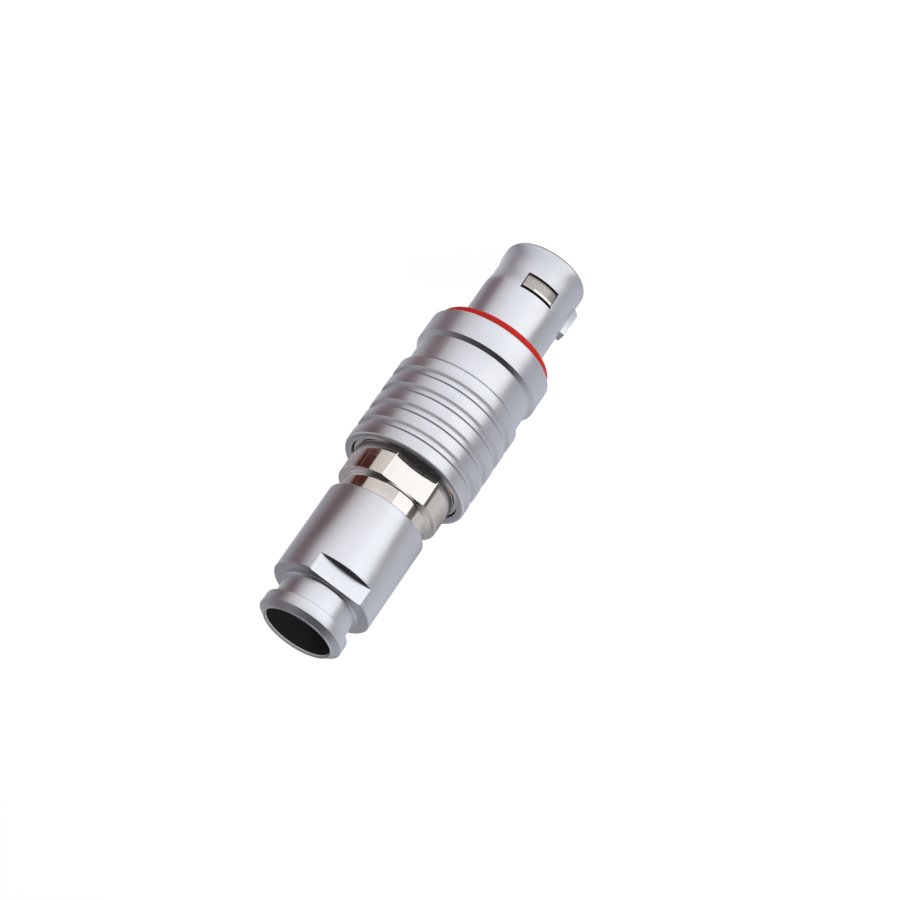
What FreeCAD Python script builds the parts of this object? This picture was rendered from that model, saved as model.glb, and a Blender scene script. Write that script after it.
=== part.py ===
import FreeCAD, Part
import math
import os

# Push pull circular connector: the plug half, for a cable.
# It stands on its nose tip: +Z runs from the tip (z = 0) to the cable mouth, and Z is its axis.
# The two latch windows face -Y and +Y, and the alignment key is on the -X side.
# All sizes are in millimetres. "_r" is a radius, "_z" a height above the tip.

# Nose tube, the part that enters the socket
nose_r = 4.325
nose_wall = 0.475
nose_length = 10.85
tip_bead_length = 1.35
tip_round = 0.25
mouth_chamfer = 0.08
waist_depth = 0.155
waist_start_z = 2.2
waist_length = 1.3
waist_rise = 1.1

# Latch windows in the nose tube
window_start_z = 3.05
window_length = 2.02
window_width = 3.76

# Alignment key on the nose tube
key_start_z = 1.75
key_length = 2.9
key_width = 1.7
key_height = 0.45
key_chamfer = 0.4
key_turn = 180.0

# Grip: front flange, plain band, then ridges and a rear land
flange_length = 2.65
band_depth = 0.43
band_length = 2.64
band_shoulder = 0.36
band_ramp = 0.35
ridge_count = 4
ridge_length = 1.345
ridge_ramp = 0.14
groove_width = 0.745
groove_depth = 0.32
rear_land_length = 1.44
rear_round = 0.45
front_round = 0.12

# Bores of the outer shell, outward from the nose, and the wall round them
shell_web = 0.95
guide_step = 0.975
guide_bore_length = 8.6
rear_step = 0.45
grip_wall = 0.75

# Seal ring in front of the grip
seal_width = 1.705
seal_proud = 0.9
seal_seat_depth = 0.45
seal_round = 0.32

# How far the outer shell pulls back, and what is left to its stop
pull_travel = 1.2
stop_gap = 0.1

# Latch fingers
finger_thickness = 0.4
finger_side_gap = 0.08
head_end_gap = 0.08
head_ramp_length = 1.21
head_crest_length = 0.37
head_proud = 0.175
head_toe = 0.02
head_retract = 0.8

# Latch sleeve that carries the fingers
sleeve_step = 0.105
sleeve_length = 4.45
hinge_depth = 0.55

# Plug body
o_ring_thickness = 0.76
o_ring_from_front = 6.05
groove_slack = 0.14
collar_length = 1.2
collar_recess = 0.35
wrench_step = 0.36
wrench_length = 3.3
wrench_flat_depth = 0.54
throat_step = 0.69
throat_length = 1.82
throat_overlap = 0.48
spigot_step = 0.25
spigot_length = 4.1
spigot_wall = 0.55
edge_chamfer = 0.1

# Insulator and its contacts
insulator_margin = 0.75
insulator_front_z = 5.6
finger_room = 1.33
insulator_step = 0.5
insulator_slip = 0.2
insulator_rear_length = 3.3
locking_rib_height = 0.3
locking_rib_length = 1.0
locking_rib_from_body = 1.3
contact_count = 6
contact_margin = 0.9
pin_r = 0.35
pin_recess = 1.4
shank_r = 0.5
cup_reach = 2.6
cup_wall = 0.14
cup_depth = 1.4
pin_bevel = 0.15

# Split insert carrier
carrier_wall = 0.25
carrier_flange_gap = 0.06
carrier_flange_length = 0.85
carrier_window_width = 2.4
carrier_window_length = 4.0
carrier_split = 0.04

# Cable clamp
collet_wall = 0.65
collet_taper_length = 1.8
collet_taper = 0.3
collet_ring_length = 3.0
collet_slots = 6
collet_slot_width = 0.5
gasket_flange_length = 1.95
gasket_nose_length = 0.65
washer_bore_step = 0.55
washer_thickness = 0.6

# Collet nut
nut_wall = 0.735
nut_length = 9.65
nut_bore_step = 0.25
nut_flat_depth = 0.86
nut_flats_length = 1.92
neck_wall = 0.48
neck_length = 2.48
neck_fillet = 0.3
rim_step = 0.56
rim_length = 1.1
rim_taper_length = 0.55
rim_taper = 0.72

# Clearances
slide_gap = 0.05
fit_gap = 0.02
face_gap = 0.05
thread_gap = 0.05
nest_gap = 0.1

# Radii that follow from the nose
nose_bore_r = nose_r - nose_wall
seal_r = nose_r + seal_width
guide_bore_r = nose_r + guide_step
rear_bore_r = guide_bore_r + rear_step
grip_r = rear_bore_r + grip_wall
band_r = grip_r - band_depth
sleeve_r = nose_r + sleeve_step
collar_r = rear_bore_r - nest_gap
wrench_r = collar_r - wrench_step
throat_r = wrench_r - throat_step
spigot_r = throat_r - spigot_step
collet_bore_r = spigot_r - spigot_wall
collet_r = collet_bore_r - slide_gap
gasket_bore_r = collet_r - collet_wall - slide_gap
gasket_flange_r = spigot_r - slide_gap
washer_r = gasket_flange_r - slide_gap
washer_bore_r = gasket_bore_r + washer_bore_step
thread_bore_r = spigot_r + thread_gap
nut_r = thread_bore_r + nut_wall
nut_bore_r = gasket_bore_r + nut_bore_step
neck_r = nut_bore_r + neck_wall
rim_r = neck_r + rim_step
insulator_r = nose_bore_r - insulator_margin
insulator_waist_r = insulator_r - insulator_step
locking_rib_r = insulator_waist_r + locking_rib_height
sleeve_bore_r = insulator_r + insulator_slip
contact_circle_r = insulator_waist_r - contact_margin
carrier_flange_r = collet_bore_r - carrier_flange_gap

# Heights that follow, and the radii of the fingers and the carrier
waist_r = nose_r - waist_depth
window_end_z = window_start_z + window_length
grip_front_z = nose_length
band_start_z = grip_front_z + flange_length + band_shoulder
ridges_start_z = band_start_z + band_length + band_ramp
ridge_pitch = ridge_length + groove_width
grip_rear_z = ridges_start_z + ridge_count * ridge_pitch + rear_land_length
seal_seat_z = grip_front_z + seal_seat_depth
step_z = seal_seat_z + shell_web + fit_gap
guide_end_z = step_z + guide_bore_length
body_front_z = step_z + pull_travel + stop_gap
finger_out_r = nose_bore_r - slide_gap - fit_gap
finger_in_r = finger_out_r - finger_thickness
finger_width = window_width - 2 * finger_side_gap
hinge_r = (finger_out_r + finger_in_r) / 2
hinge_z = body_front_z + hinge_depth
barrel_r = guide_bore_r - slide_gap
sleeve_end_z = body_front_z + sleeve_length
carrier_out_r = sleeve_bore_r - slide_gap
carrier_in_r = carrier_out_r - carrier_wall
carrier_hole_r = insulator_waist_r + slide_gap
collar_end_z = grip_rear_z - collar_recess
wrench_end_z = collar_end_z + wrench_length
nut_front_z = wrench_end_z + throat_length
throat_end_z = nut_front_z + throat_overlap
spigot_end_z = throat_end_z + spigot_length
collet_start_z = collar_end_z + nest_gap
collet_end_z = spigot_end_z - gasket_nose_length - face_gap
gasket_flange_z = spigot_end_z + face_gap
washer_z = gasket_flange_z + gasket_flange_length + face_gap
nut_shoulder_z = washer_z + washer_thickness + face_gap
nut_end_z = nut_front_z + nut_length
rim_start_z = nut_end_z + neck_length
mouth_z = rim_start_z + rim_length + rim_taper_length
insulator_rear_z = body_front_z + insulator_rear_length
cup_end_z = insulator_rear_z + cup_reach
rib_start_z = body_front_z + locking_rib_from_body

UP = FreeCAD.Vector(0, 0, 1)
ORIGIN = FreeCAD.Vector(0, 0, 0)
QUARTER = 90.0
O_RING_SIDES = 6
FACING = {"near": -90.0, "far": 90.0}


def outline_face(outline):
    """Flat face in the XZ plane from a closed outline of (radius, height) points."""
    corners = [FreeCAD.Vector(radius, 0, height) for radius, height in outline]
    return Part.Face(Part.makePolygon(corners + corners[:1]))


def turned(outline):
    """Solid turned a full circle about Z from an outline."""
    return outline_face(outline).revolve(ORIGIN, UP, 360)


def ring(inner_r, outer_r, low_z, high_z):
    """Plain ring between two radii and two heights."""
    return turned([(inner_r, low_z), (outer_r, low_z), (outer_r, high_z), (inner_r, high_z)])


def strip(face, facing, width):
    """Part of a turned wall between two parallel sides, centred on an angle in degrees."""
    face = face.copy()
    face.rotate(ORIGIN, UP, -QUARTER / 2)
    wall = face.revolve(ORIGIN, UP, QUARTER)
    wall = wall.common(block((0, -width / 2, 0), (grip_r, width / 2, mouth_z)))
    wall.rotate(ORIGIN, UP, facing)
    return wall


def rod(radius, low_z, high_z, x=0.0, y=0.0):
    """Round rod along Z."""
    return Part.makeCylinder(radius, high_z - low_z, FreeCAD.Vector(x, y, low_z), UP)


def bend(centre_r, centre_z, radius, start, sweep, steps):
    """Points along an arc of an outline, angles in degrees from outward towards +Z."""
    points = []
    for index in range(steps + 1):
        turn = math.radians(start + sweep * index / steps)
        points.append((centre_r + radius * math.cos(turn), centre_z + radius * math.sin(turn)))
    return points


def block(low, high):
    """Block between two corners."""
    size = [b - a for a, b in zip(low, high)]
    return Part.makeBox(*size, FreeCAD.Vector(*low))


def flatted(solid, half, low_z, high_z, reach):
    """Two opposite flats, facing -Y and +Y, each half their width apart from the axis."""
    for side in (-1, 1):
        near, far = sorted((side * half, side * reach))
        solid = solid.cut(block((-reach, near, low_z), (reach, far, high_z)))
    return solid


def around(count, start=0.0):
    """Angles in degrees, evenly spaced round a circle."""
    return [start + 360.0 * index / count for index in range(count)]


def nose_outline():
    """Outside of the nose tube from its tip to the seat of the seal ring."""
    return [
        *bend(nose_r - tip_round, tip_round, tip_round, -90, 90, 2),
        (nose_r, tip_bead_length),
        (waist_r, waist_start_z),
        (waist_r, waist_start_z + waist_length),
        (nose_r, waist_start_z + waist_length + waist_rise),
        (nose_r, seal_seat_z),
    ]


def grip_outline():
    """Outside of the grip from the seal ring's seat to its rear face."""
    points = [
        (seal_r + fit_gap, seal_seat_z),
        (seal_r + fit_gap, grip_front_z),
        *bend(grip_r - front_round, grip_front_z + front_round, front_round, -90, 90, 1),
        (grip_r, grip_front_z + flange_length),
        (band_r, band_start_z),
        (band_r, band_start_z + band_length),
    ]
    for index in range(ridge_count):
        low_z = ridges_start_z + index * ridge_pitch
        groove_z = low_z + ridge_length
        points += [
            (grip_r, low_z),
            (grip_r, groove_z),
            (grip_r - groove_depth, groove_z),
            (grip_r - groove_depth, groove_z + groove_width - ridge_ramp),
        ]
    points.append((grip_r, ridges_start_z + ridge_count * ridge_pitch))
    return points + bend(grip_r - rear_round, grip_rear_z - rear_round, rear_round, 0, 90, 3)


def shell_bore_outline():
    """Inside of the outer shell from its rear face back to the nose mouth."""
    return [
        (rear_bore_r, grip_rear_z),
        (rear_bore_r, guide_end_z),
        (guide_bore_r, guide_end_z),
        (guide_bore_r, step_z),
        (nose_bore_r, step_z),
        (nose_bore_r, mouth_chamfer),
        (nose_bore_r + mouth_chamfer, 0),
    ]


def alignment_key():
    """Raised key on the nose tube, bevelled towards the tip."""
    foot_r = waist_r - nose_wall / 2
    top_r = nose_r + key_height
    end_z = key_start_z + key_length
    side = [
        (foot_r, key_start_z),
        (top_r - key_chamfer, key_start_z),
        (top_r, key_start_z + key_chamfer),
        (top_r, end_z),
        (foot_r, end_z),
    ]
    key = outline_face(side).extrude(FreeCAD.Vector(0, key_width, 0))
    key.translate(FreeCAD.Vector(0, -key_width / 2, 0))
    key.rotate(ORIGIN, UP, key_turn)
    return key


def outer_shell():
    """Nose tube and ridged grip, turned in one piece, with two latch windows."""
    shell = turned(nose_outline() + grip_outline() + shell_bore_outline())
    shell = shell.fuse(alignment_key())
    opening = outline_face([
        (nose_bore_r - nose_wall, window_start_z),
        (nose_r + nose_wall, window_start_z),
        (nose_r + nose_wall, window_end_z),
        (nose_bore_r - nose_wall, window_end_z),
    ])
    for facing in FACING.values():
        shell = shell.cut(strip(opening, facing, window_width))
    return shell


def face_seal_ring():
    """Soft ring seated in the grip's front face, against the nose tube."""
    front_z = grip_front_z - seal_proud
    back_z = seal_seat_z - fit_gap
    return turned([
        (nose_r + fit_gap, front_z),
        *bend(seal_r - seal_round, front_z + seal_round, seal_round, -90, 90, 3),
        (seal_r, back_z),
        (nose_r + fit_gap, back_z),
    ])


def latch_finger(facing):
    """Springy finger with a ramped head that stands in a latch window."""
    toe_z = window_start_z + head_end_gap
    crest_z = toe_z + head_ramp_length
    heel_z = window_end_z - head_end_gap
    crest_r = nose_r + head_proud
    side = outline_face([
        (finger_in_r, toe_z),
        (finger_out_r + head_toe, toe_z),
        (crest_r, crest_z),
        (crest_r, crest_z + head_crest_length),
        (finger_out_r, heel_z),
        *bend(hinge_r, hinge_z, finger_thickness / 2, 0, 180, 4),
    ])
    return strip(side, facing, finger_width)


def latch_sleeve():
    """Ring inside the plug body with a seat for the root of each finger."""
    sleeve = ring(sleeve_bore_r, sleeve_r, body_front_z, sleeve_end_z)
    seat = outline_face([
        (sleeve_bore_r - nest_gap, body_front_z - nest_gap),
        (finger_out_r + slide_gap, body_front_z - nest_gap),
        (finger_out_r + slide_gap, hinge_z + finger_thickness / 2 + nest_gap),
        (sleeve_bore_r - nest_gap, hinge_z + finger_thickness / 2 + nest_gap),
    ])
    for facing in FACING.values():
        sleeve = sleeve.cut(strip(seat, facing, window_width))
    return sleeve


def plug_body():
    """Turned body that slides in the outer shell and carries the cable nut."""
    groove_z = body_front_z + o_ring_from_front
    groove_half = o_ring_thickness / 2 + groove_slack / 2
    groove_r = guide_bore_r - o_ring_thickness - 2 * fit_gap
    bore_end_z = collar_end_z - carrier_flange_length
    body = turned([
        (sleeve_r + fit_gap, body_front_z),
        (barrel_r, body_front_z),
        (barrel_r, groove_z - groove_half),
        (groove_r, groove_z - groove_half),
        (groove_r, groove_z + groove_half),
        (barrel_r, groove_z + groove_half),
        (barrel_r, collar_end_z - collar_length),
        (collar_r, collar_end_z - collar_length),
        (collar_r, collar_end_z),
        (wrench_r, collar_end_z),
        (wrench_r, wrench_end_z - edge_chamfer),
        (wrench_r - edge_chamfer, wrench_end_z),
        (throat_r, wrench_end_z),
        (throat_r, throat_end_z),
        (spigot_r, throat_end_z),
        (spigot_r, spigot_end_z),
        (collet_bore_r, spigot_end_z),
        (collet_bore_r, bore_end_z),
        (sleeve_bore_r, bore_end_z),
        (sleeve_bore_r, sleeve_end_z + fit_gap),
        (sleeve_r + fit_gap, sleeve_end_z + fit_gap),
    ])
    return flatted(body, wrench_r - wrench_flat_depth, collar_end_z, wrench_end_z, 2 * wrench_r)


def body_o_ring():
    """Round seal between the plug body and the bore of the outer shell."""
    cord_r = o_ring_thickness / 2
    middle_z = body_front_z + o_ring_from_front
    section = bend(guide_bore_r - fit_gap - cord_r, middle_z, cord_r, 0, 360, O_RING_SIDES)
    return turned(section[:-1])


def contact_places():
    """Axis of each contact: one in the middle, the others on a circle."""
    places = [(0.0, 0.0)]
    for angle in around(contact_count):
        turn = math.radians(angle)
        places.append((contact_circle_r * math.cos(turn), contact_circle_r * math.sin(turn)))
    return places


def insulator():
    """Insulating insert that holds the contacts, flat where the fingers move in."""
    rear_z = insulator_rear_z
    neck_z = body_front_z - nest_gap
    insert = turned([
        (0, insulator_front_z),
        (insulator_r, insulator_front_z),
        (insulator_r, neck_z),
        (insulator_waist_r, neck_z),
        (insulator_waist_r, rib_start_z),
        (locking_rib_r, rib_start_z),
        (locking_rib_r, rib_start_z + locking_rib_length),
        (insulator_waist_r, rib_start_z + locking_rib_length),
        (insulator_waist_r, rear_z),
        (0, rear_z),
    ])
    insert = flatted(insert, finger_in_r - finger_room, insulator_front_z, neck_z, 2 * insulator_r)
    for x, y in contact_places():
        insert = insert.cut(rod(pin_r + fit_gap, insulator_front_z, rear_z, x, y))
    return insert


def contact_pin(x, y):
    """Turned contact: a bevelled pin in front and a solder cup behind."""
    shank_z = insulator_rear_z + fit_gap
    cup_z = cup_end_z - cup_depth
    contact = turned([
        (0, pin_recess),
        (pin_r - pin_bevel, pin_recess),
        (pin_r, pin_recess + pin_bevel),
        (pin_r, shank_z),
        (shank_r, shank_z),
        (shank_r, cup_end_z),
        (shank_r - cup_wall, cup_end_z),
        (shank_r - cup_wall, cup_z),
        (0, cup_z),
    ])
    contact.translate(FreeCAD.Vector(x, y, 0))
    return contact


def insert_carrier(side):
    """Half of the split tube that grips the insulator and keeps the solder joints clear."""
    groove_low_z = rib_start_z - face_gap
    groove_high_z = rib_start_z + locking_rib_length + face_gap
    solder_z = insulator_rear_z + nest_gap
    flange_z = collar_end_z - carrier_flange_length + face_gap
    tube = turned([
        (carrier_hole_r, body_front_z + face_gap),
        (carrier_out_r, body_front_z + face_gap),
        (carrier_out_r, flange_z),
        (carrier_flange_r, flange_z),
        (carrier_flange_r, collar_end_z),
        (carrier_in_r, collar_end_z),
        (carrier_in_r, solder_z),
        (carrier_hole_r, solder_z),
        (carrier_hole_r, groove_high_z),
        (locking_rib_r + slide_gap, groove_high_z),
        (locking_rib_r + slide_gap, groove_low_z),
        (carrier_hole_r, groove_low_z),
    ])
    reach = 2 * carrier_flange_r
    near, far = sorted((side * carrier_split / 2, side * reach))
    half = tube.common(block((near, -reach, 0), (far, reach, mouth_z)))
    middle_z = (cup_end_z + flange_z) / 2
    window = block(
        (near, -carrier_window_width / 2, middle_z - carrier_window_length / 2),
        (far, carrier_window_width / 2, middle_z + carrier_window_length / 2),
    )
    return half.cut(window)


def cable_collet():
    """Slotted collet that closes on the cable as the nut is tightened."""
    bore_r = collet_r - collet_wall
    collet = turned([
        (bore_r, collet_start_z),
        (collet_r, collet_start_z),
        (collet_r, collet_end_z - collet_taper_length),
        (collet_r - collet_taper, collet_end_z),
        (bore_r, collet_end_z),
    ])
    slot = block(
        (0, -collet_slot_width / 2, collet_start_z + collet_ring_length),
        (2 * collet_r, collet_slot_width / 2, mouth_z),
    )
    for angle in around(collet_slots, 90.0 / collet_slots):
        turned_slot = slot.copy()
        turned_slot.rotate(ORIGIN, UP, angle)
        collet = collet.cut(turned_slot)
    return collet


def cable_gasket():
    """Flanged rubber seal that is squeezed round the cable."""
    return turned([
        (gasket_bore_r, spigot_end_z - gasket_nose_length),
        (collet_bore_r - slide_gap, spigot_end_z - gasket_nose_length),
        (collet_bore_r - slide_gap, gasket_flange_z),
        (gasket_flange_r, gasket_flange_z),
        (gasket_flange_r, gasket_flange_z + gasket_flange_length),
        (gasket_bore_r, gasket_flange_z + gasket_flange_length),
    ])


def thrust_washer():
    """Flat washer between the gasket and the turning nut."""
    return ring(washer_bore_r, washer_r, washer_z, washer_z + washer_thickness)


def collet_nut():
    """Clamping nut with two wrench flats and a rim that holds a bend relief."""
    nut = turned([
        (thread_bore_r, nut_shoulder_z),
        (thread_bore_r, throat_end_z + nest_gap),
        (throat_r + slide_gap, throat_end_z + nest_gap),
        (throat_r + slide_gap, nut_front_z),
        (nut_r - edge_chamfer, nut_front_z),
        (nut_r, nut_front_z + edge_chamfer),
        (nut_r, nut_end_z - edge_chamfer),
        (nut_r - edge_chamfer, nut_end_z),
        *bend(neck_r + neck_fillet, nut_end_z + neck_fillet, neck_fillet, -90, -90, 2),
        (neck_r, rim_start_z),
        (rim_r, rim_start_z),
        (rim_r, rim_start_z + rim_length),
        (rim_r - rim_taper, mouth_z),
        (nut_bore_r + edge_chamfer, mouth_z),
        (nut_bore_r, mouth_z - edge_chamfer),
        (nut_bore_r, nut_shoulder_z),
    ])
    return flatted(nut, nut_r - nut_flat_depth, nut_end_z - nut_flats_length, nut_end_z, 2 * nut_r)


def pieces():
    """Every piece by name."""
    made = {
        "outer_shell": outer_shell(),
        "face_seal_ring": face_seal_ring(),
        "latch_sleeve": latch_sleeve(),
        "plug_body": plug_body(),
        "body_o_ring": body_o_ring(),
        "insulator": insulator(),
        "insert_carrier_left": insert_carrier(-1),
        "insert_carrier_right": insert_carrier(1),
        "cable_collet": cable_collet(),
        "cable_gasket": cable_gasket(),
        "thrust_washer": thrust_washer(),
        "collet_nut": collet_nut(),
    }
    for name, facing in FACING.items():
        made["latch_finger_" + name] = latch_finger(facing)
    for index, (x, y) in enumerate(contact_places()):
        made["contact_pin_" + str(index + 1)] = contact_pin(x, y)
    return made


os.makedirs("parts", exist_ok=True)
for name, shape in pieces().items():
    shape.exportStep("parts/" + name + ".step")
lever = hinge_z - (window_start_z + head_end_gap + head_ramp_length + head_crest_length)
print("finger turn at full pull, radians:", round(head_retract / lever, 5))
print("finger hinge height:", round(hinge_z, 4), "radius:", round(hinge_r, 4))
print("overall length:", round(mouth_z, 3))
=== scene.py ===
import math

import bmesh
import bpy
import numpy as np
from mathutils import Matrix, Vector


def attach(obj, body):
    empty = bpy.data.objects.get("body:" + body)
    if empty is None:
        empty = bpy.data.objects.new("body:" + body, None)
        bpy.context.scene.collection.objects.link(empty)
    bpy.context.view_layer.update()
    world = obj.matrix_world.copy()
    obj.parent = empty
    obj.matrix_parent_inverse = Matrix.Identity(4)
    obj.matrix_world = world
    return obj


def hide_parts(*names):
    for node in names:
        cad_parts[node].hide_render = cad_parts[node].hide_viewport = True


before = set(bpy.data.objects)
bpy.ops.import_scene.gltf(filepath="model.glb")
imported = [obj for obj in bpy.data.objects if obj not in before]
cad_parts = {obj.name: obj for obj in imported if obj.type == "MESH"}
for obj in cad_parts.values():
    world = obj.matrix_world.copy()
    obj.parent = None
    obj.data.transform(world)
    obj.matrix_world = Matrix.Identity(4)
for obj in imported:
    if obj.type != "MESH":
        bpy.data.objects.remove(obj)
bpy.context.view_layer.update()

bl_info = {
    "name": "Push pull circular connector",
    "version": (1, 0, 0),
    "blender": (4, 5, 0),
    "location": "3D View > Sidebar > Connector",
    "description": "Builds the visible pieces and finishes of a sealed push pull cable plug",
    "category": "Object",
}

MM = 0.001
TURN = 2 * math.pi
# Columns of a turned mesh: those in front of a window or flat, and those beside it
FRONT_COLUMNS = 40
SIDE_COLUMNS = 72
# Half angle of the front columns where a piece has no window or flat there
PLAIN_HALF = math.radians(27)
# Corners sharper than CORNER are eased, and the shading parts at those sharper than SHARP
CORNER = math.radians(24)
SHARP = math.radians(75)

# Sizes in millimetres. Each _R is a radius, and each _START, _END or _Z a height above the nose tip
# Nose tube with its windows and its key
NOSE_R = 4.325
BORE_R = 3.85
WAIST_R = 4.17
TIP_ROUND = 0.4
TIP_EASE = 0.08
BEAD_END = 1.35
WAIST_START = 2.2
WAIST_END = 3.5
FLARE_R = 4.285
FLARE_Z = 4.3
FLARE_END = 4.7
WINDOW_START = 3.1
WINDOW_END = 5.01
WINDOW_WIDTH = 3.52
PLAIN_START = 6.2
KEY_START = 1.75
KEY_END = 4.65
KEY_WIDTH = 1.7
KEY_HEIGHT = 0.45
KEY_ROOT = 0.24
KEY_CHAMFER = 0.4

# Grip and the bores of the outer shell
GRIP_R = 6.5
BAND_R = 6.07
GROOVE_R = 6.18
GRIP_START = 10.85
FRONT_EASE = 0.12
FLANGE_END = 13.5
BAND_START = 13.86
BAND_END = 16.5
RIDGES_START = 16.91
RIDGE_LENGTH = 1.225
RIDGE_PITCH = 2.09
RIDGE_COUNT = 4
RIDGE_RAMP = 0.35
RIDGE_WALL = 0.09
GRIP_END = 26.65
GRIP_ROUND = 0.3
GUIDE_BORE_R = 5.3
REAR_BORE_R = 5.75
REAR_EASE = 0.08
STEP_Z = 12.27
GUIDE_END = 20.87

# Red ring
SEAL_R = 6.03
SEAL_PROUD = 0.9
SEAL_ROUND = 0.32
SEAL_SEAT_Z = 11.3

# Bright body
BARREL_R = 5.25
BODY_START = 13.57
SLEEVE_BORE_R = 4.45
RING_GROOVE_R = 4.5
RING_GROOVE_START = 19.17
RING_GROOVE_END = 20.07
CARRIER_BORE_R = 3.3
CARRIER_BORE_START = 18.04
CARRIER_BORE_END = 25.45
COLLAR_R = 5.65
COLLAR_START = 25.1
COLLAR_END = 26.3
WRENCH_R = 5.29
WRENCH_FLAT = 4.75
WRENCH_END = 29.6
THROAT_R = 4.6
THROAT_END = 31.9
SPIGOT_R = 4.35
SPIGOT_END = 36.0
COLLET_BORE_R = 3.8
THREAD_ROOT_R = 4.12
THREAD_PITCH = 0.5
THREAD_TURNS = 7

# Latch fingers
FINGER_THICKNESS = 0.4
FINGER_PROUD = 0.175
HINGE_Z = 14.12

# Nut
NUT_R = 5.135
NUT_FLAT = 4.275
NUT_START = 31.42
NUT_FLAT_START = 39.15
NUT_END = 41.07
THREAD_BORE_R = 4.4
THROAT_BORE_R = 4.65
THROAT_BORE_END = 32.0
SHOULDER_Z = 38.7
CABLE_BORE_R = 3.3
MOUTH_BORE_R = 3.5
NECK_R = 3.78
NECK_ROUND = 0.3
RIM_R = 4.34
RIM_START = 43.55
RIM_LENGTH = 1.1
LIP_R = 3.66
MOUTH_END = 45.2

# Strength of the painted shade in the corners, of the chalk on the groove walls and of the painted
# highlight that makes the key paler
CORNER_PAINTED_SHADE = 0.4
WALL_CHALK = 0.45
KEY_PAINTED_HIGHLIGHT = 0.22

# Floor, and the reflected card: its edges and the reaches at which its zones end, in millimetres
FLOOR_R = 3000.0
FLOOR_DROP = 0.05
CARD_BORE_R = 4.05
CARD_R = 400.0
CARD_LIFT = 0.1
CARD_CORNERS = 96
CLOSE_ZONE = 9.5
SATIN_ZONE = 63.5
BRIGHT_ZONE = 79.3
# How far round from -Y the camera stands, which the card is turned by
CAMERA_TURN = math.radians(6.5)
# Where the camera looks, and how far it is shifted to the right and up to place the plug
LOOK_Z = 23.05
SHIFT_RIGHT = 2.5379
SHIFT_UP = 0.0976


def arc(centre_r, centre_z, radius, start, sweep, steps):
    """Points of an outline along an arc, angles in degrees from outward towards +Z."""
    points = []
    for index in range(steps + 1):
        turn = math.radians(start + sweep * index / steps)
        points.append((centre_r + radius * math.cos(turn), centre_z + radius * math.sin(turn)))
    return points


def columns(half):
    """Angles round the axis, with a column at each end of the two front stretches."""
    front = np.linspace(-half, half, FRONT_COLUMNS, endpoint=False)
    side = np.linspace(half, math.pi - half, SIDE_COLUMNS, endpoint=False)
    one = np.concatenate([front, side]) - math.pi / 2
    return np.concatenate([one, one + math.pi])


def in_front(column):
    """Whether the strip of faces after a column lies in a front stretch."""
    return column % (FRONT_COLUMNS + SIDE_COLUMNS) < FRONT_COLUMNS


class Row:
    """One circle of a turned mesh, in millimetres, with two flats where flat is given."""

    def __init__(self, radius, z, half=PLAIN_HALF, flat=None):
        self.radius = radius
        self.z = z
        self.half = math.acos(flat / radius) if flat else half
        self.flat = flat

    def points(self):
        """Corners of the row in metres."""
        turns = columns(self.half)
        x = self.radius * np.cos(turns)
        y = self.radius * np.sin(turns)
        if self.flat:
            y = np.clip(y, -self.flat, self.flat)
        return [(a * MM, b * MM, self.z * MM) for a, b in zip(x, y)]


def window_half(radius):
    """Half the angle that a latch window takes at a radius."""
    return math.asin(WINDOW_WIDTH / 2 / radius)


def turned_mesh(rows, openings=()):
    """Closed turned mesh. Each opening gives the first and last of its outer and inner rows."""
    made = bmesh.new()
    grid = [[made.verts.new(point) for point in row.points()] for row in rows]
    count = len(grid[0])
    open_rows = set()
    for outer, inner in openings:
        open_rows |= set(range(outer[0], outer[1])) | set(range(inner[1], inner[0]))
    for index in range(len(grid)):
        low, high = grid[index], grid[(index + 1) % len(grid)]
        for column in range(count):
            if index in open_rows and in_front(column):
                continue
            after = (column + 1) % count
            made.faces.new((low[column], low[after], high[after], high[column]))
    for outer, inner in openings:
        window_walls(made, grid, outer, inner)
    bmesh.ops.remove_doubles(made, verts=made.verts, dist=1e-8)
    bmesh.ops.dissolve_degenerate(made, edges=made.edges, dist=1e-8)
    bmesh.ops.recalc_face_normals(made, faces=made.faces)
    return made


def window_walls(made, grid, outer, inner):
    """Walls between the outer and the inner edge of each front opening."""
    count = len(grid[0])
    for start in (0, count // 2):
        end = start + FRONT_COLUMNS
        for out_row, in_row in ((outer[0], inner[0]), (outer[1], inner[1])):
            for column in range(start, end):
                made.faces.new((
                    grid[out_row][column], grid[out_row][column + 1],
                    grid[in_row][column + 1], grid[in_row][column],
                ))
        for step in range(outer[1] - outer[0]):
            for column in (start, end):
                made.faces.new((
                    grid[outer[0] + step][column], grid[outer[0] + step + 1][column],
                    grid[inner[0] - step - 1][column], grid[inner[0] - step][column],
                ))


def strip_mesh(outline, facing, width, divisions=28):
    """Closed strip with parallel sides, its outline turned about the axis, in front of +Y or -Y."""
    made = bmesh.new()
    across = np.linspace(-width / 2, width / 2, divisions + 1)
    grid = []
    for radius, z in outline:
        line = []
        for x in across:
            y = facing * math.sqrt(radius * radius - x * x)
            line.append(made.verts.new((x * MM, y * MM, z * MM)))
        grid.append(line)
    for index in range(len(grid)):
        low, high = grid[index], grid[(index + 1) % len(grid)]
        for column in range(divisions):
            made.faces.new((low[column], low[column + 1], high[column + 1], high[column]))
    made.faces.new([line[0] for line in grid])
    made.faces.new([line[-1] for line in grid])
    bmesh.ops.recalc_face_normals(made, faces=made.faces)
    return made


def add_prism(made, outline, width):
    """Adds a closed prism along Y to a mesh, from an outline of (x, z) points."""
    sides = []
    for y in (-width / 2, width / 2):
        sides.append([made.verts.new((x * MM, y * MM, z * MM)) for x, z in outline])
    faces = [made.faces.new(sides[0]), made.faces.new(sides[1])]
    for index in range(len(outline)):
        after = (index + 1) % len(outline)
        faces.append(made.faces.new((
            sides[0][index], sides[0][after], sides[1][after], sides[1][index],
        )))
    bmesh.ops.recalc_face_normals(made, faces=faces)


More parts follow.
